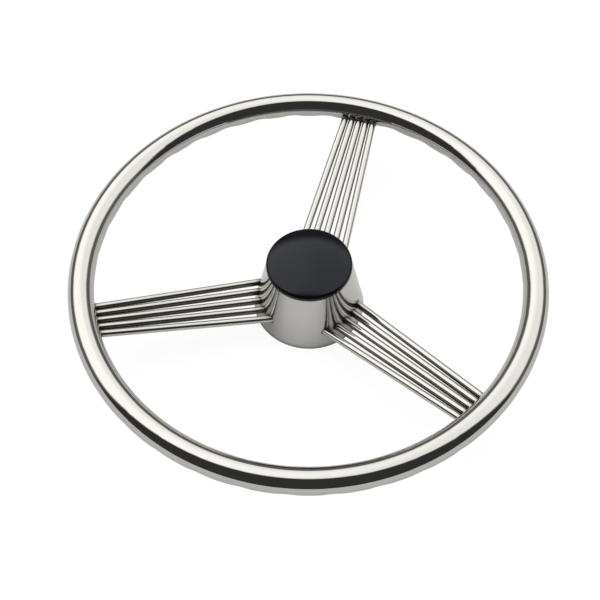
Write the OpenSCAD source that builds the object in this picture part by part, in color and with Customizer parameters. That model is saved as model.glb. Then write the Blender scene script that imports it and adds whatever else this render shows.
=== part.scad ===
// Three-spoke stainless steel steering wheel for a boat helm.
// The wheel axis is Z and the hub's back edge lies on z = 0. +Z points to the person steering,
// and the first spoke points along +Y.

/* [Rim] */
// Overall diameter of the wheel
rim_outer_d = 394; // [370:1:420]
// Diameter of the rim tube
tube_d = 21; // [20:0.5:24]
// Wall thickness of the rim tube
tube_wall = 1.5; // [1.2:0.1:1.8]
// Height of the rim's middle plane above the hub's back edge
rim_z = 48; // [44:1:54]
// Number of finger grip places around the rim, one of which is left plain at each spoke
grip_places = 36; // [24, 30, 36]
// Depth of a finger grip at the very underside of the tube
grip_depth = 1.7; // [1:0.1:1.8]

/* [Spokes] */
// Diameter of a spoke rod
rod_d = 6; // [5:0.1:6.2]
// Spacing of a spoke's rods where they leave the hub
rod_pitch_hub = 9.6; // [8.6:0.1:10]
// Spacing of a spoke's rods at the rim's centre line
rod_pitch_rim = 6.3; // [6.3:0.1:7.5]
// Height of the rods where they leave the hub
rod_hub_z = 18; // [17:0.5:20]
// How far below the rim's middle plane the rods' centre lines aim
rod_rim_drop = 3.5; // [2:0.5:4]

/* [Hub] */
// Diameter of the hub cover at its back edge
hub_base_d = 94; // [92:1:98]
// Diameter of the hub cover and cap where they meet
hub_top_d = 71; // [70:1:74]
// Height of the hub cover
hub_h = 55; // [54:1:56]
// Thickness of the hub cover
hub_wall = 1.5; // [1:0.1:1.8]

/* [Shaft] */
// Diameter of the helm shaft at the big end of its taper
shaft_d = 19.05; // [19.05:0.05:20]
// Length of shaft taper for each millimetre that its diameter falls
taper_run = 12; // [10:1:16]
// Diameter of the shaft's threaded end
stud_d = 15.875; // [14:0.125:16]

/* [Cap] */
// Height of the cap's dome above its widest place
dome_h = 9; // [8:0.1:11]
// Height of the cap's straight edge
cap_edge_h = 1.5; // [1:0.1:2]

/* [Hidden] */
SPOKES = [1, 2, 3];
RODS = [1, 2, 3, 4, 5];
function rod_name(spoke, rod) = str("spoke_", spoke, "_rod_", rod);

ROUND = 96;          // segments of a drawn circle
BIG_ROUND = 240;     // segments around the rim
EPS = 0.5;           // how far a cutter passes a face
SLIP = 0.02;         // gap between pieces that touch
ARC_STEPS = 12;      // straight lines that stand for one curve of the cap

STEEL = [0.80, 0.80, 0.79];
DULL_STEEL = [0.62, 0.62, 0.60];
BLACK = [0.08, 0.08, 0.09];

// rim
tube_r = tube_d / 2;
rim_r = (rim_outer_d - tube_d) / 2;
void_lift = (grip_depth - 1) / 2;                 // keeps metal between the hollow and the grips
void_r = tube_r - tube_wall - void_lift;
grip_r = 60;                                      // curve of a grip along the rim
grip_reach = 26;                                  // length of a grip's cut across the tube
grip_flank = 35;                                  // degrees below level of a grip's side cuts
grip_flank_depth = grip_depth * 0.55;
grip_step = 360 / grip_places;

// rods
rod_r = rod_d / 2;
spoke_r = 38;                                     // radius where the hub spacing is measured
rod_in_r = 22;                                    // radius where the rods end inside the core
run = rim_r - spoke_r;
rise = rim_z - rod_rim_drop - rod_hub_z;

// core
core_r = 33;
boss_r = 20;
disc_z = [9.5, 27];                               // bottom and top of the disc of sockets
core_h = 36;
socket_gap = 0.03;
shaft_r = shaft_d / 2;
shaft_gap = 0.1;
straight_h = 6;                                   // straight part of the bore, behind the taper
key_w = 4.76;
key_h = 2.4;
key_len = 26;

// back plate
plate_z = 0.6;
plate_h = 2;
plate_gap = 0.1;

// cover
base_r = hub_base_d / 2;
top_r = hub_top_d / 2;
lip_r = top_r - 4;
hole_r = rod_r + 0.5;
hole_reach = base_r + 10;                         // distance from the axis where a hole's cutter ends
lean = (base_r - top_r) / hub_h;

// fastening
stud_gap = 0.16;
stud_r = stud_d / 2 + stud_gap;
flat_washer_r = 16;
flat_washer_h = 2;
lock_washer_r = 12.7;
lock_washer_h = 3.6;
lock_slot = 1.2;
lock_slot_angle = 25;
lock_washer_gap = 0.2;
nut_flats = 23.8;
nut_h = 9.5;
nut_chamfer = 30;                                 // degrees

// cap
cap_wall = 2.4;
skirt_r = lip_r - 0.3;
skirt_wall = 2.3;
skirt_h = 7;
edge_curve = 3;
ring_r = 0.75;
ring_z = hub_h - hub_wall / 2;

function spoke_angle(spoke) = 90 + (spoke - 1) * 120;
function side(rod) = rod - 3;
// Place along a rod's centre line, seen with its spoke along +X; 0 is at spoke_r and 1 is at the rim
function on_rod(rod, t) = [
    spoke_r + run * t,
    side(rod) * (rod_pitch_hub + (rod_pitch_rim - rod_pitch_hub) * t),
    rod_hub_z + rise * t
];
function along(radius) = (radius - spoke_r) / run;
function arc(r, centre, from, to) = [
    for (i = [0:ARC_STEPS])
        let (a = from + (to - from) * i / ARC_STEPS)
            centre + r * [cos(a), sin(a)]
];

// A straight round bar between two points
module bar(from, to, r) {
    v = to - from;
    translate(from)
        rotate([0, acos(v.z / norm(v)), atan2(v.y, v.x)])
            cylinder(r = r, h = norm(v), $fn = ROUND);
}

// A round ring of tube about Z
module torus(ring, r) {
    rotate_extrude($fn = BIG_ROUND)
        translate(ring)
            circle(r = r, $fn = ROUND);
}

module washer(inner, outer, h) {
    difference() {
        cylinder(r = outer, h = h, $fn = ROUND);
        translate([0, 0, -EPS])
            cylinder(r = inner, h = h + 2 * EPS, $fn = ROUND);
    }
}

// One barrel-shaped cut across the tube, at an angle below level and to a depth at its middle
module grip_cut(below, depth) {
    rotate([0, below, 0])
        translate([tube_r - depth + grip_r, 0, -grip_reach / 2])
            cylinder(r = grip_r, h = grip_reach, $fn = ROUND);
}

module finger_grip() {
    translate([rim_r, 0, rim_z]) {
        grip_cut(grip_flank, grip_flank_depth);
        grip_cut(90, grip_depth);
        grip_cut(180 - grip_flank, grip_flank_depth);
    }
}

module rim() {
    color(STEEL)
        difference() {
            torus([rim_r, rim_z], tube_r);
            torus([rim_r, rim_z + void_lift], void_r);
            for (i = [0:grip_places - 1])
                if (i % (grip_places / 3) != 0)
                    rotate([0, 0, spoke_angle(1) + i * grip_step])
                        finger_grip();
        }
}

// A spoke rod, from its socket in the core to the rim tube, where its end is shaped to the tube
module rod(spoke, rod) {
    color(STEEL)
        rotate([0, 0, spoke_angle(spoke)])
            difference() {
                bar(on_rod(rod, along(rod_in_r)), on_rod(rod, 1), rod_r);
                torus([rim_r, rim_z], tube_r + SLIP);
            }
}

// A bore of radius r around every rod, between two distances from the wheel axis
module rod_bores(from_r, to_r, r) {
    for (spoke = SPOKES, rod = RODS)
        rotate([0, 0, spoke_angle(spoke)])
            bar(on_rod(rod, along(from_r)), on_rod(rod, along(to_r)), r);
}

// The load-carrying middle: a boss with the tapered and keyed shaft bore, and a disc of rod sockets
module hub_core() {
    big = shaft_r;
    small = shaft_r - (core_h - straight_h) / taper_run / 2;
    color(DULL_STEEL)
        difference() {
            union() {
                cylinder(r = boss_r, h = core_h, $fn = ROUND);
                translate([0, 0, disc_z[0]])
                    cylinder(r = core_r, h = disc_z[1] - disc_z[0], $fn = ROUND);
            }
            translate([0, 0, -EPS])
                cylinder(r = shaft_r + shaft_gap, h = straight_h + EPS, $fn = ROUND);
            translate([0, 0, straight_h])
                cylinder(r1 = big, r2 = small, h = core_h - straight_h, $fn = ROUND);
            translate([0, 0, core_h - EPS])
                cylinder(r = small, h = 2 * EPS, $fn = ROUND);
            translate([0, -key_w / 2, -EPS])
                cube([shaft_r + key_h, key_w, key_len + EPS]);
            rod_bores(rod_in_r - SLIP, spoke_r, rod_r + socket_gap);
        }
}

// Disc that closes the back of the hub cover around the boss
module back_plate() {
    color(STEEL)
        translate([0, 0, plate_z])
            washer(boss_r + SLIP, base_r - hub_wall - lean * (plate_z + plate_h) - plate_gap, plate_h);
}

// Spun cover with a turned-in lip for the cap and a hole for each rod
module hub_cover() {
    color(STEEL)
        difference() {
            rotate_extrude($fn = BIG_ROUND)
                polygon([
                    [base_r, 0],
                    [top_r, hub_h],
                    [lip_r, hub_h],
                    [lip_r, hub_h - hub_wall],
                    [top_r + lean * hub_wall - hub_wall, hub_h - hub_wall],
                    [base_r - hub_wall, 0]
                ]);
            rod_bores(core_r, hole_reach, hole_r);
        }
}

module flat_washer() {
    color(STEEL)
        translate([0, 0, core_h + SLIP])
            washer(stud_r, flat_washer_r, flat_washer_h);
}

// Split spring washer, closed flat under the nut
module lock_washer() {
    color(DULL_STEEL)
        translate([0, 0, core_h + flat_washer_h + 2 * SLIP])
            difference() {
                washer(stud_r + lock_washer_gap, lock_washer_r, lock_washer_h);
                rotate([lock_slot_angle, 0, 0])
                    translate([0, -lock_slot / 2, -lock_washer_h])
                        cube([lock_washer_r + EPS, lock_slot, 3 * lock_washer_h]);
            }
}

// Hexagon nut with its top corners turned off
module hub_nut() {
    flat_r = nut_flats / 2;
    corner_r = flat_r / cos(30);
    color(STEEL)
        translate([0, 0, core_h + flat_washer_h + lock_washer_h + 3 * SLIP])
            difference() {
                intersection() {
                    cylinder(r = corner_r, h = nut_h, $fn = 6);
                    cylinder(r1 = flat_r + nut_h / tan(nut_chamfer), r2 = flat_r, h = nut_h, $fn = ROUND);
                }
                translate([0, 0, -EPS])
                    cylinder(r = stud_r, h = nut_h + 2 * EPS, $fn = ROUND);
            }
}

// Hollow glossy dome with a skirt that plugs into the cover's lip
module centre_cap() {
    inset = top_r - edge_curve;
    crown_r = (pow(inset, 2) + pow(dome_h, 2) - pow(edge_curve, 2)) / (2 * (dome_h - edge_curve));
    turn = asin(inset / (crown_r - edge_curve));
    seat_z = hub_h + SLIP;
    wide_z = seat_z + cap_edge_h;
    crown = [0, wide_z + dome_h - crown_r];
    edge = [inset, wide_z];
    color(BLACK)
        difference() {
            union() {
                rotate_extrude($fn = BIG_ROUND)
                    polygon(concat(
                        [[top_r, seat_z]],
                        arc(edge_curve, edge, 0, 90 - turn),
                        arc(crown_r, crown, 90 - turn, 90),
                        arc(crown_r - cap_wall, crown, 90, 90 - turn),
                        arc(edge_curve - cap_wall, edge, 90 - turn, 0),
                        [[top_r - cap_wall, seat_z]]
                    ));
                translate([0, 0, seat_z])
                    washer(skirt_r - skirt_wall, top_r - cap_wall / 2, cap_edge_h);
                translate([0, 0, hub_h - skirt_h])
                    washer(skirt_r - skirt_wall, skirt_r, skirt_h + cap_edge_h);
            }
            torus([lip_r - SLIP - ring_r, ring_z], ring_r + SLIP);
        }
}

// Rubber ring in the skirt's groove, which grips the cover's lip
module cap_ring() {
    color(BLACK)
        torus([lip_r - SLIP - ring_r, ring_z], ring_r);
}

rim();
for (spoke = SPOKES, rod = RODS)
    rod(spoke, rod);
hub_core();
back_plate();
hub_cover();
flat_washer();
lock_washer();
hub_nut();
centre_cap();
cap_ring();
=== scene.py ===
"""Looks for a polished stainless steel boat steering wheel.

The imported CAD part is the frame. This script adds smooth surfaces where the wheel is mirror polished,
the welds, the materials, a plain studio and the camera. Lengths are in metres unless a name says mm.
"""

import math

import bmesh
import bpy
from mathutils import Matrix, Vector


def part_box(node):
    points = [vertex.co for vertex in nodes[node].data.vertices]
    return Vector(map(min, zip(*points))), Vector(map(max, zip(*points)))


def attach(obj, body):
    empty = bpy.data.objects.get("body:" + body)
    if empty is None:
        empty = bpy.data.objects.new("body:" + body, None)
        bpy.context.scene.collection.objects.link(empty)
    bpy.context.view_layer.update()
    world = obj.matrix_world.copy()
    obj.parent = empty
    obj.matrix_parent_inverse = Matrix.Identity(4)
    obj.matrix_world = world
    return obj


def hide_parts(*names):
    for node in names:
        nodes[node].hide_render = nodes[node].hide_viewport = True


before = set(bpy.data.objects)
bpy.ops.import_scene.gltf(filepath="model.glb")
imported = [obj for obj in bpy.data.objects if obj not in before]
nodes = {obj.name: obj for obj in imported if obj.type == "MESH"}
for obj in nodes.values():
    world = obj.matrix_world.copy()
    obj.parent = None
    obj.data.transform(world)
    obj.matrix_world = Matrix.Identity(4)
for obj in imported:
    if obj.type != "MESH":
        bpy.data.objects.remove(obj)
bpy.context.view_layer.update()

MM = 0.001
SPOKES = (1, 2, 3)
RODS = (1, 2, 3, 4, 5)
MIDDLE_ROD = 3
SPOKE_TURN = math.radians(120)
FIRST_SPOKE = math.radians(90)

# sizes read from the frame
rim_low, rim_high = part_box("rim")
cap_low, cap_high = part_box("centre_cap")
cover_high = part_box("hub_cover")[1]
TUBE_R = (rim_high.z - rim_low.z) / 2
RIM_Z = (rim_high.z + rim_low.z) / 2
RIM_R = rim_high.x - TUBE_R
CAP_R = cap_high.x
CAP_TOP = cap_high.z
CAP_BOTTOM = cap_low.z
CAP_CLEARANCE = 0.02 * MM
CAP_SEAT = cover_high.z + CAP_CLEARANCE
RIM_CENTRE = Vector((0, 0, RIM_Z))

# finger grips under the rim
GRIP_PLACES = 36
GRIP_DEPTH = 1.7 * MM
GRIP_CURVE = 60 * MM
GRIP_SOFT = 0.12 * MM
GRIP_WRAP = 1.1

# rods, as centre lines in a spoke's own direction
ROD_R = 3 * MM
ROD_START = 38 * MM
ROD_START_Z = 18 * MM
ROD_END_Z = RIM_Z - 3.5 * MM
ROD_PITCH_HUB = 9.6 * MM
ROD_PITCH_RIM = 6.3 * MM

# weld bead around the end of a rod
WELD_R = 0.8 * MM
WELD_RIPPLES = 14
WELD_RIPPLE_SHARE = 0.12

# nut thread, 18 turns to the inch; root and crest are half widths in pitches
NUT_BORE = 8.1 * MM
THREAD_PITCH = 25.4 / 18 * MM
THREAD_DEPTH = 0.75 * MM
THREAD_OVERLAP = 0.02 * MM
THREAD_ROOT = 0.45
THREAD_CREST = 0.06

# cap
CAP_EDGE = 1.5 * MM
CAP_EDGE_CURVE = 3 * MM
CAP_WALL = 2.4 * MM
CAP_LIP = 4 * MM
SKIRT_GAP = 0.3 * MM
SKIRT_WALL = 2.3 * MM
CAP_BREAK = 0.3 * MM

# camera, fitted to the rim's ellipse
CAMERA_AZIMUTH = math.radians(13.30)
CAMERA_ELEVATION = math.radians(56.82)
CAMERA_ROLL = math.radians(1.46)
CAMERA_DISTANCE = 4.531 * RIM_R
CAMERA_RIGHT = 0.068 * RIM_R
CAMERA_DOWN = 0.132 * RIM_R
CAMERA_LENS = 61.4
CAMERA_SENSOR = 36.0
CAMERA_SHIFT = -0.041
CAMERA_CLIP = (0.01, 50.0)

# studio: linear colours, and heights as the sine of the elevation
TENT = (1.33, 1.32, 1.29, 1)
TENT_GLOW = (1.68, 1.65, 1.61, 1)
GLOW_AZIMUTH = -60
GLOW_ELEVATION = math.radians(48)
GLOW_SPREAD = (0.65, 0.95)
SKYLINE = (0.16, 0.155, 0.15, 1)
SKYLINE_HEIGHT = (0.34, 0.56)
DIM_SIDE = (0.045, 0.045, 0.045, 1)
DIM_SIDE_EDGE = (0.02, 0.18)
WHITE = (1.0, 1.0, 1.0, 1)
FLOOR_WHITE = (0.95, 0.95, 0.95, 1)
FLOOR_GLOW = 1.20
FLOOR_GLOW_SHARE = (0.15, 0.8)
FLOOR_HALF = 4.0


# ---------------------------------------------------------------- mesh helpers

def make_object(name, mesh, body, *stands_for):
    """A new piece that rides on a body and may stand for CAD nodes."""
    piece = bpy.data.objects.new(name, mesh)
    bpy.context.scene.collection.objects.link(piece)
    for face in mesh.polygons:
        face.use_smooth = True
    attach(piece, body)
    if stands_for:
        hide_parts(*stands_for)
    return piece


def grid_mesh(name, rows, columns, point, close_rows=True):
    """A mesh of quads over a grid whose points come from point(row, column)."""
    vertices = [point(i, j) for i in range(rows) for j in range(columns)]
    faces = []
    for i in range(rows if close_rows else rows - 1):
        row = i * columns
        next_row = (i + 1) % rows * columns
        for j in range(columns):
            next_j = (j + 1) % columns
            faces.append((row + j, next_row + j, next_row + next_j, row + next_j))
    mesh = bpy.data.meshes.new(name)
    mesh.from_pydata(vertices, [], faces)
    mesh.update()
    return mesh


def face_outward(mesh):
    """Joins the points of a mesh that meet, and turns every face to point out of it."""
    touching = 1e-7
    shape = bmesh.new()
    shape.from_mesh(mesh)
    bmesh.ops.remove_doubles(shape, verts=shape.verts, dist=touching)
    loose = [edge for edge in shape.edges if not edge.link_faces]
    bmesh.ops.delete(shape, geom=loose, context="EDGES")
    bmesh.ops.recalc_face_normals(shape, faces=shape.faces)
    shape.to_mesh(mesh)
    shape.free()


def lathe(name, profile, steps):
    """A closed ring whose section is the (radius, height) points of profile."""
    def point(i, j):
        turn = 2 * math.pi * i / steps
        radius, height = profile[j]
        return radius * math.cos(turn), radius * math.sin(turn), height
    mesh = grid_mesh(name, steps, len(profile), point)
    face_outward(mesh)
    return mesh


def arc(radius, centre, start, end, steps):
    """Points along an arc in a section, from one angle to another in degrees."""
    points = []
    for i in range(steps + 1):
        angle = math.radians(start + (end - start) * i / steps)
        points.append((centre[0] + radius * math.cos(angle), centre[1] + radius * math.sin(angle)))
    return points


# ---------------------------------------------------------------- rim

def grip_cut(turn, section):
    """Depth of the finger grips at an angle around the wheel and an angle around the tube."""
    step = 2 * math.pi / GRIP_PLACES
    place = round(turn / step)
    if abs(math.remainder(place * step - FIRST_SPOKE, SPOKE_TURN)) < step / 2:
        return 0.0
    along = (turn - place * step) * RIM_R
    wrap = max(0.0, -math.sin(section)) ** GRIP_WRAP
    cut = GRIP_DEPTH * wrap - along * along / (2 * GRIP_CURVE)
    return (cut + math.sqrt(cut * cut + GRIP_SOFT * GRIP_SOFT)) / 2


def build_rim():
    """The whole rim tube as one smooth ring, with the grips in its underside."""
    around = 1440
    across = 72

    def point(i, j):
        turn = 2 * math.pi * i / around
        section = 2 * math.pi * j / across
        reach = TUBE_R - grip_cut(turn, section)
        radius = RIM_R + reach * math.cos(section)
        return radius * math.cos(turn), radius * math.sin(turn), RIM_Z + reach * math.sin(section)

    mesh = grid_mesh("rim_tube", around, across, point)
    face_outward(mesh)
    return make_object("rim_tube", mesh, "wheel", "rim")


# ---------------------------------------------------------------- welds

def rod_line(rod, t):
    """A point on a rod's centre line; t is 0 near the hub and 1 at the rim's centre line."""
    side = rod - MIDDLE_ROD
    spread = side * (ROD_PITCH_HUB + (ROD_PITCH_RIM - ROD_PITCH_HUB) * t)
    reach = ROD_START + (RIM_R - ROD_START) * t
    height = ROD_START_Z + (ROD_END_Z - ROD_START_Z) * t
    return Vector((reach, spread, height))


def outside_tube(point):
    """Whether a point is outside the rim's plain tube."""
    return math.hypot(math.hypot(point.x, point.y) - RIM_R, point.z - RIM_Z) > TUBE_R


def weld_point(rod, outward):
    """Where the line along a rod's surface, off its centre by outward, meets the rim tube."""
    near = 0.85
    far = 1.0
    halvings = 30
    for _ in range(halvings):
        middle = (near + far) / 2
        if outside_tube(rod_line(rod, middle) + outward):
            near = middle
        else:
            far = middle
    return rod_line(rod, near) + outward


def build_weld(spoke, rod):
    """A rippled bead around the end of a rod, along the curve where it meets the tube."""
    around = 112
    across = 10
    line = (rod_line(rod, 1) - rod_line(rod, 0)).normalized()
    across_axis = line.cross(Vector((0, 0, 1))).normalized()
    up_axis = across_axis.cross(line)
    turns = [2 * math.pi * i / around for i in range(around)]
    outwards = [across_axis * math.cos(turn) + up_axis * math.sin(turn) for turn in turns]
    path = [weld_point(rod, outward * ROD_R) for outward in outwards]
    spoke_turn = Matrix.Rotation(FIRST_SPOKE + (spoke - 1) * SPOKE_TURN, 3, "Z")

    def point(i, j):
        ahead = (path[(i + 1) % around] - path[i - 1]).normalized()
        side = ahead.cross(outwards[i]).normalized()
        turn = 2 * math.pi * j / across
        reach = WELD_R * (1 + WELD_RIPPLE_SHARE * math.sin(WELD_RIPPLES * turns[i] + rod))
        place = path[i] + outwards[i] * (reach * math.cos(turn)) + side * (reach * math.sin(turn))
        return spoke_turn @ place

    name = f"weld_{spoke}_{rod}"
    mesh = grid_mesh(name, around, across, point)
    face_outward(mesh)
    return make_object(name, mesh, "wheel")


# ---------------------------------------------------------------- nut thread

def build_thread():
    """The ridge of the nut's thread, wound up the bore."""
    low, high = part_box("hub_nut")
    per_turn = 48
    winds = (high.z - low.z) / THREAD_PITCH - 1
    steps = int(winds * per_turn)
    run_out = 12
    section = [
        (THREAD_OVERLAP, -THREAD_ROOT),
        (-THREAD_DEPTH, -THREAD_CREST),
        (-THREAD_DEPTH, THREAD_CREST),
        (THREAD_OVERLAP, THREAD_ROOT),
    ]

    def point(i, j):
        turn = 2 * math.pi * i / per_turn
        fade = min(1.0, i / run_out, (steps - i) / run_out)
        inset, offset = section[j]
        radius = NUT_BORE + inset * fade
        height = low.z + THREAD_PITCH * (0.5 + i / per_turn + offset)
        return radius * math.cos(turn), radius * math.sin(turn), height

    mesh = grid_mesh("nut_thread", steps + 1, len(section), point, close_rows=False)
    face_outward(mesh)
    return make_object("nut_thread", mesh, "nut")


# ---------------------------------------------------------------- cap

def build_cap():
    """A shallow dome with a rounded edge, and a skirt that goes into the cover."""
    dome = CAP_TOP - CAP_SEAT - CAP_EDGE
    inset = CAP_R - CAP_EDGE_CURVE
    crown_r = (inset**2 + dome**2 - CAP_EDGE_CURVE**2) / (2 * (dome - CAP_EDGE_CURVE))
    turn = math.degrees(math.asin(inset / (crown_r - CAP_EDGE_CURVE)))
    wide_z = CAP_SEAT + CAP_EDGE
    crown = (0.0, wide_z + dome - crown_r)
    edge = (inset, wide_z)
    skirt_out = CAP_R - CAP_LIP - SKIRT_GAP
    skirt_in = skirt_out - SKIRT_WALL
    profile = (
        [(skirt_in, wide_z)]
        + [(skirt_in, CAP_BOTTOM)]
        + [(skirt_out - CAP_BREAK, CAP_BOTTOM), (skirt_out, CAP_BOTTOM + CAP_BREAK)]
        + [(skirt_out, CAP_SEAT)]
        + [(CAP_R - CAP_BREAK, CAP_SEAT), (CAP_R, CAP_SEAT + CAP_BREAK)]
        + arc(CAP_EDGE_CURVE, edge, 0, 90 - turn, steps=16)
        + arc(crown_r, crown, 90 - turn, 90, steps=40)[1:]
        + arc(crown_r - CAP_WALL, crown, 90, 90 - turn, steps=12)
    )
    mesh = lathe("cap_dome", profile, steps=192)
    return make_object("cap_dome", mesh, "cap", "centre_cap")


# ---------------------------------------------------------------- materials

class Nodes:
    """Small helpers for building a node tree."""

    def __init__(self, tree):
        self.tree = tree
        self.tree.nodes.clear()

    def add(self, kind, **settings):
        node = self.tree.nodes.new(kind)
        for key, value in settings.items():
            setattr(node, key, value)
        return node

    def link(self, value, socket):
        if isinstance(value, bpy.types.NodeSocket):
            self.tree.links.new(value, socket)
        else:
            socket.default_value = value

    def math(self, operation, a, b=0.0):
        node = self.add("ShaderNodeMath", operation=operation)
        self.link(a, node.inputs[0])
        self.link(b, node.inputs[1])
        return node.outputs[0]

    def dot(self, a, b):
        """How far vector a points along the direction b."""
        node = self.add("ShaderNodeVectorMath", operation="DOT_PRODUCT")
        self.link(a, node.inputs[0])
        self.link(b, node.inputs[1])
        return node.outputs["Value"]

    def place(self):
        """Position on the piece, in metres."""
        return self.add("ShaderNodeTexCoord").outputs["Object"]

    def map_range(self, value, from_low, from_high, to_low=0.0, to_high=1.0, smooth=True):
        kind = "SMOOTHSTEP" if smooth else "LINEAR"
        node = self.add("ShaderNodeMapRange", interpolation_type=kind)
        for socket, item in zip(node.inputs, (value, from_low, from_high, to_low, to_high)):
            self.link(item, socket)
        return node.outputs[0]

    def mix(self, share, a, b):
        node = self.add("ShaderNodeMix", data_type="RGBA")
        self.link(share, node.inputs[0])
        self.link(a, node.inputs[6])
        self.link(b, node.inputs[7])
        return node.outputs[2]

    def noise(self, vector, scale, detail=2.0, roughness=0.5):
        node = self.add("ShaderNodeTexNoise")
        self.link(vector, node.inputs["Vector"])
        node.inputs["Scale"].default_value = scale
        node.inputs["Detail"].default_value = detail
        node.inputs["Roughness"].default_value = roughness
        return node.outputs["Fac"]

    def round_coordinates(self, radius_scale, turn_scale, height_scale):
        """Position as (distance from the axis, angle, height), each stretched by its own scale."""
        split = self.add("ShaderNodeSeparateXYZ")
        self.link(self.place(), split.inputs[0])
        x, y, z = split.outputs
        radius_squared = self.math("ADD", self.math("MULTIPLY", x, x), self.math("MULTIPLY", y, y))
        radius = self.math("SQRT", radius_squared)
        turn = self.math("ARCTAN2", y, x)
        join = self.add("ShaderNodeCombineXYZ")
        self.link(self.math("MULTIPLY", radius, radius_scale), join.inputs[0])
        self.link(self.math("MULTIPLY", turn, turn_scale), join.inputs[1])
        self.link(self.math("MULTIPLY", z, height_scale), join.inputs[2])
        return join.outputs[0]

    def openness(self, distance):
        """1 on an open surface and less in crevices narrower than distance."""
        node = self.add("ShaderNodeAmbientOcclusion", samples=8)
        node.inputs["Distance"].default_value = distance
        return node.outputs["AO"]

    def bump(self, height, strength, distance):
        node = self.add("ShaderNodeBump")
        node.inputs["Strength"].default_value = strength
        node.inputs["Distance"].default_value = distance
        self.link(height, node.inputs["Height"])
        return node.outputs[0]


def new_material(name):
    """A material with one principled surface, its node helpers and that surface."""
    material = bpy.data.materials.new(name)
    material.use_nodes = True
    tools = Nodes(material.node_tree)
    surface = tools.add("ShaderNodeBsdfPrincipled")
    output = tools.add("ShaderNodeOutputMaterial")
    tools.link(surface.outputs[0], output.inputs["Surface"])
    return material, tools, surface


def polished_steel(name, radius_scale, turn_scale, height_scale, dull):
    """Mirror polished steel: fine polishing lines, soft smudges, and painted shade that darkens it in
    crevices and between parts.
    """
    material, tools, surface = new_material(name)
    around = tools.round_coordinates(radius_scale, turn_scale, height_scale)
    lines = tools.noise(around, scale=1.0, detail=3.0, roughness=0.6)
    place = tools.place()
    smudges = tools.noise(place, scale=45.0, detail=4.0, roughness=0.6)
    waves = tools.noise(place, scale=22.0, detail=1.0)
    # painted shade: where nearby parts hem the surface in, as between the rods and at the joints, the base
    # colour is mixed towards dark olive and the roughness is raised
    unshaded = tools.map_range(tools.openness(7 * MM), 0.40, 0.95)
    steel = tools.mix(smudges, (0.56, 0.555, 0.535, 1), (0.60, 0.595, 0.575, 1))
    tools.link(tools.mix(unshaded, (0.11, 0.10, 0.07, 1), steel), surface.inputs["Base Color"])
    surface.inputs["Metallic"].default_value = 1.0
    line_rough = tools.map_range(lines, 0.3, 0.7, 0.0, 0.04)
    smudge_rough = tools.map_range(smudges, 0.4, 0.8, dull, dull + 0.05)
    crevice_rough = tools.map_range(unshaded, 0.0, 1.0, 0.25, 0.0)
    rough = tools.math("ADD", tools.math("ADD", line_rough, smudge_rough), crevice_rough)
    tools.link(rough, surface.inputs["Roughness"])
    height = tools.math("ADD", tools.math("MULTIPLY", lines, 0.02), waves)
    tools.link(tools.bump(height, 0.5, 0.3 * MM), surface.inputs["Normal"])
    return material


def machined_steel(name):
    """Turned steel: fine rings from the tool and a duller shine."""
    material, tools, surface = new_material(name)
    around = tools.round_coordinates(radius_scale=4000.0, turn_scale=0.5, height_scale=4000.0)
    rings = tools.noise(around, scale=1.0, detail=2.0, roughness=0.6)
    stains = tools.noise(tools.place(), scale=120.0, detail=4.0, roughness=0.6)
    steel = tools.mix(stains, (0.42, 0.41, 0.40, 1), (0.60, 0.59, 0.57, 1))
    tools.link(steel, surface.inputs["Base Color"])
    surface.inputs["Metallic"].default_value = 1.0
    tools.link(tools.map_range(rings, 0.3, 0.7, 0.22, 0.38), surface.inputs["Roughness"])
    tools.link(tools.bump(rings, 0.25, 0.05 * MM), surface.inputs["Normal"])
    return material


def weld_metal(name):
    """Unpolished weld bead, straw and brown from the heat."""
    material, tools, surface = new_material(name)
    tint = tools.noise(tools.place(), scale=350.0, detail=3.0, roughness=0.6)
    heated = tools.mix(tint, (0.22, 0.16, 0.12, 1), (0.50, 0.46, 0.41, 1))
    tools.link(heated, surface.inputs["Base Color"])
    surface.inputs["Metallic"].default_value = 1.0
    tools.link(tools.map_range(tint, 0.3, 0.7, 0.35, 0.18), surface.inputs["Roughness"])
    tools.link(tools.bump(tint, 0.4, 0.1 * MM), surface.inputs["Normal"])
    return material


def black_plastic(name):
    """Glossy moulded black with hairline swirls and a little dust."""
    material, tools, surface = new_material(name)
    place = tools.place()
    dust = tools.noise(place, scale=900.0, detail=2.0, roughness=0.6)
    haze = tools.noise(place, scale=60.0, detail=4.0, roughness=0.6)
    around = tools.round_coordinates(radius_scale=2500.0, turn_scale=3.0, height_scale=2500.0)
    swirls = tools.noise(around, scale=1.0)
    speck = tools.map_range(dust, 0.72, 0.80)
    black = tools.mix(speck, (0.0045, 0.005, 0.009, 1), (0.05, 0.05, 0.05, 1))
    tools.link(black, surface.inputs["Base Color"])
    haze_rough = tools.map_range(haze, 0.35, 0.75, 0.06, 0.12)
    swirl_rough = tools.map_range(swirls, 0.5, 0.8, 0.0, 0.05)
    tools.link(tools.math("ADD", haze_rough, swirl_rough), surface.inputs["Roughness"])
    tools.link(tools.bump(haze, 0.04, 0.2 * MM), surface.inputs["Normal"])
    surface.inputs["IOR"].default_value = 1.38
    surface.inputs["Specular Tint"].default_value = (0.86, 0.89, 1.0, 1)
    return material


def black_rubber(name):
    """Matt black with a fine grain."""
    material, tools, surface = new_material(name)
    grain = tools.noise(tools.place(), scale=1500.0, detail=3.0, roughness=0.6)
    black = tools.mix(grain, (0.012, 0.012, 0.012, 1), (0.03, 0.03, 0.03, 1))
    tools.link(black, surface.inputs["Base Color"])
    tools.link(tools.map_range(grain, 0.3, 0.7, 0.5, 0.75), surface.inputs["Roughness"])
    tools.link(tools.bump(grain, 0.3, 0.05 * MM), surface.inputs["Normal"])
    return material


def dress(piece, material):
    """Gives a piece its one material."""
    piece.data.materials.clear()
    piece.data.materials.append(material)


# ---------------------------------------------------------------- studio

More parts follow.
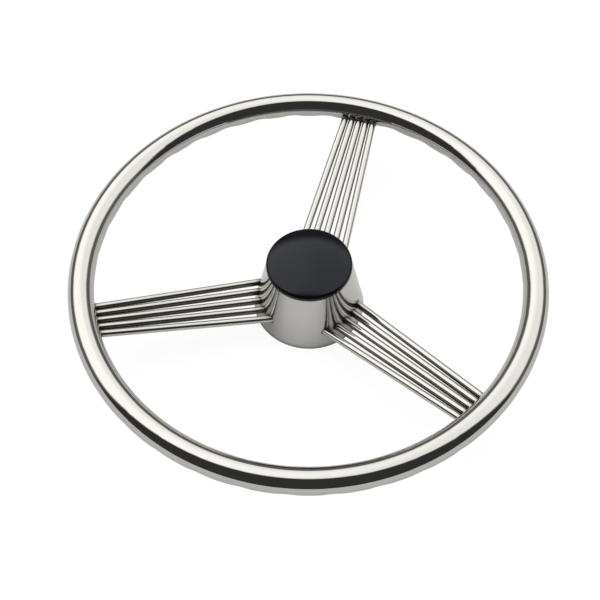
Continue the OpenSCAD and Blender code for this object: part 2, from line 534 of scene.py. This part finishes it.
def direction(azimuth_from_camera, elevation=0.0):
    """A direction in the world: azimuth 0 degrees is away from the camera, and 90 is to its right."""
    angle = CAMERA_AZIMUTH + math.radians(90) - math.radians(azimuth_from_camera)
    return Vector((math.cos(angle), math.sin(angle), math.tan(elevation))).normalized()


def build_world():
    """A soft white tent, brighter on the left, over a grey skyline and dim behind the camera.

    The camera itself sees plain white instead.
    """
    world = bpy.data.worlds.new("studio")
    bpy.context.scene.world = world
    world.use_nodes = True
    tools = Nodes(world.node_tree)
    way = tools.add("ShaderNodeTexCoord").outputs["Generated"]
    split = tools.add("ShaderNodeSeparateXYZ")
    tools.link(way, split.inputs[0])
    up = split.outputs[2]
    behind = tools.dot(way, direction(180))
    to_glow = tools.dot(way, direction(GLOW_AZIMUTH, GLOW_ELEVATION))

    tent = tools.mix(tools.map_range(to_glow, *GLOW_SPREAD), TENT, TENT_GLOW)
    ahead = tools.mix(tools.map_range(up, *SKYLINE_HEIGHT), SKYLINE, tent)
    light = tools.mix(tools.map_range(behind, *DIM_SIDE_EDGE), ahead, DIM_SIDE)
    to_camera = tools.add("ShaderNodeLightPath").outputs["Is Camera Ray"]
    seen = tools.mix(to_camera, light, WHITE)
    background = tools.add("ShaderNodeBackground")
    tools.link(seen, background.inputs["Color"])
    output = tools.add("ShaderNodeOutputWorld")
    tools.link(background.outputs[0], output.inputs["Surface"])


def camera_frame():
    """The camera's place and its right, up and back directions."""
    back = Vector((
        math.sin(CAMERA_AZIMUTH) * math.cos(CAMERA_ELEVATION),
        -math.cos(CAMERA_AZIMUTH) * math.cos(CAMERA_ELEVATION),
        math.sin(CAMERA_ELEVATION),
    ))
    level_right = Vector((0, 0, 1)).cross(back).normalized()
    level_up = back.cross(level_right)
    right = level_right * math.cos(CAMERA_ROLL) + level_up * math.sin(CAMERA_ROLL)
    up = back.cross(right)
    place = RIM_CENTRE + back * CAMERA_DISTANCE + right * CAMERA_RIGHT - up * CAMERA_DOWN
    return place, right, up, back


def build_floor():
    """A plain white sheet under the hub, open to a camera below it.

    It glows a little by itself: most as the camera sees it, and slightly as the steel mirrors it.
    """
    half = FLOOR_HALF
    corners = [(-half, -half, 0), (half, -half, 0), (half, half, 0), (-half, half, 0)]
    mesh = bpy.data.meshes.new("floor")
    mesh.from_pydata(corners, [], [(0, 1, 2, 3)])
    floor = bpy.data.objects.new("floor", mesh)
    bpy.context.scene.collection.objects.link(floor)
    material = bpy.data.materials.new("floor_paper")
    material.use_nodes = True
    tools = Nodes(material.node_tree)
    paper = tools.add("ShaderNodeBsdfDiffuse")
    paper.inputs["Color"].default_value = FLOOR_WHITE
    glow = tools.add("ShaderNodeEmission")
    glow.inputs["Color"].default_value = FLOOR_WHITE
    glow.inputs["Strength"].default_value = FLOOR_GLOW
    to_camera = tools.add("ShaderNodeLightPath").outputs["Is Camera Ray"]
    share = tools.map_range(to_camera, 0.0, 1.0, *FLOOR_GLOW_SHARE, smooth=False)
    pale = tools.add("ShaderNodeMixShader")
    tools.link(share, pale.inputs[0])
    tools.link(paper.outputs[0], pale.inputs[1])
    tools.link(glow.outputs[0], pale.inputs[2])
    sheet = tools.add("ShaderNodeMixShader")
    tools.link(tools.add("ShaderNodeNewGeometry").outputs["Backfacing"], sheet.inputs[0])
    tools.link(pale.outputs[0], sheet.inputs[1])
    tools.link(tools.add("ShaderNodeBsdfTransparent").outputs[0], sheet.inputs[2])
    output = tools.add("ShaderNodeOutputMaterial")
    tools.link(sheet.outputs[0], output.inputs["Surface"])
    mesh.materials.append(material)


def build_camera():
    """The main camera, at the place that the rim's outline gives."""
    place, right, up, back = camera_frame()
    data = bpy.data.cameras.new("camera")
    data.lens = CAMERA_LENS
    data.sensor_width = CAMERA_SENSOR
    data.shift_x = CAMERA_SHIFT
    data.clip_start, data.clip_end = CAMERA_CLIP
    camera = bpy.data.objects.new("camera", data)
    bpy.context.scene.collection.objects.link(camera)
    turn = Matrix((right, up, back)).transposed()
    camera.matrix_world = Matrix.Translation(place) @ turn.to_4x4()
    bpy.context.scene.camera = camera


# ---------------------------------------------------------------- put together

rim_steel = polished_steel("rim_steel", radius_scale=1500.0, turn_scale=6.0, height_scale=1500.0, dull=0.03)
rod_steel = polished_steel("rod_steel", radius_scale=20.0, turn_scale=400.0, height_scale=1500.0, dull=0.06)
cover_steel = polished_steel(
    "cover_steel", radius_scale=1500.0, turn_scale=4.0, height_scale=1500.0, dull=0.10,
)
turned_steel = machined_steel("turned_steel")
weld = weld_metal("weld_metal")
plastic = black_plastic("cap_plastic")
rubber = black_rubber("ring_rubber")

dress(build_rim(), rim_steel)
dress(build_cap(), plastic)
for spoke in SPOKES:
    for rod in RODS:
        dress(nodes[f"spoke_{spoke}_rod_{rod}"], rod_steel)
        dress(build_weld(spoke, rod), weld)
dress(nodes["hub_cover"], cover_steel)
dress(build_thread(), turned_steel)
for name in ("hub_core", "back_plate", "flat_washer", "lock_washer", "hub_nut"):
    dress(nodes[name], turned_steel)
dress(nodes["cap_ring"], rubber)

build_world()
build_floor()
build_camera()
bpy.context.scene.view_settings.view_transform = "Standard"
